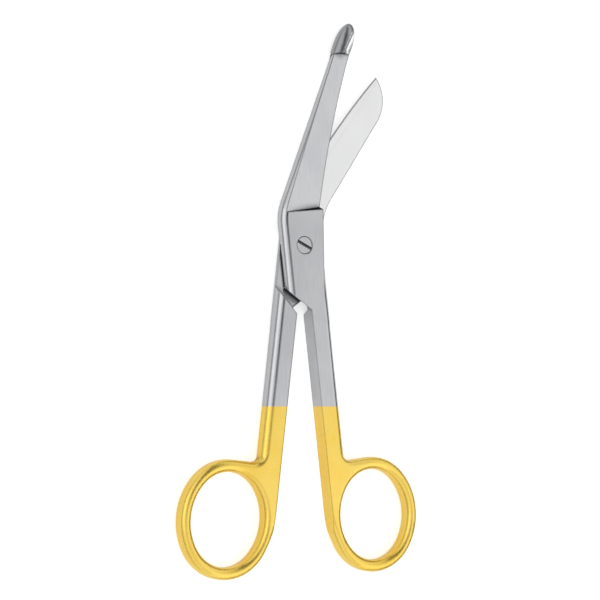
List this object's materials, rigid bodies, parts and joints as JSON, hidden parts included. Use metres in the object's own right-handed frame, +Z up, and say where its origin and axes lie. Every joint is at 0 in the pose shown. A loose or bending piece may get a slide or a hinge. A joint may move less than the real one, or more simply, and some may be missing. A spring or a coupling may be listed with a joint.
{
  "type": "bandage scissors",
  "caption": "Angled bandage scissors with a blunt probe tip on one blade, lapped screw joint and oval finger rings, lying open; cuts dressings close to skin.",
  "frame": {"origin": "on the pivot axis, in the plane of the table that the scissors lie on", "axes": "+Z up along the pivot axis, +Y along the centre line towards the blades, +X towards the finger ring of the probe half"},
  "size_m": [0.0896, 0.1817, 0.0054],
  "materials": {
    "forged_steel": "satin, with gold plating on the lower shanks and rings",
    "screw_steel": "satin"
  },
  "bodies": {
    "flat_body": {"flat_half": "forged_steel", "pivot_screw": "screw_steel"},
    "probe_body": {"probe_half": "forged_steel"}
  },
  "joints": [
    {"name": "pivot", "type": "hinge", "parent": "flat_body", "child": "probe_body", "pos_m": [0, 0, 0.0027], "axis": [0, 0, 1], "range_deg": [-14, 76]}
  ]
}
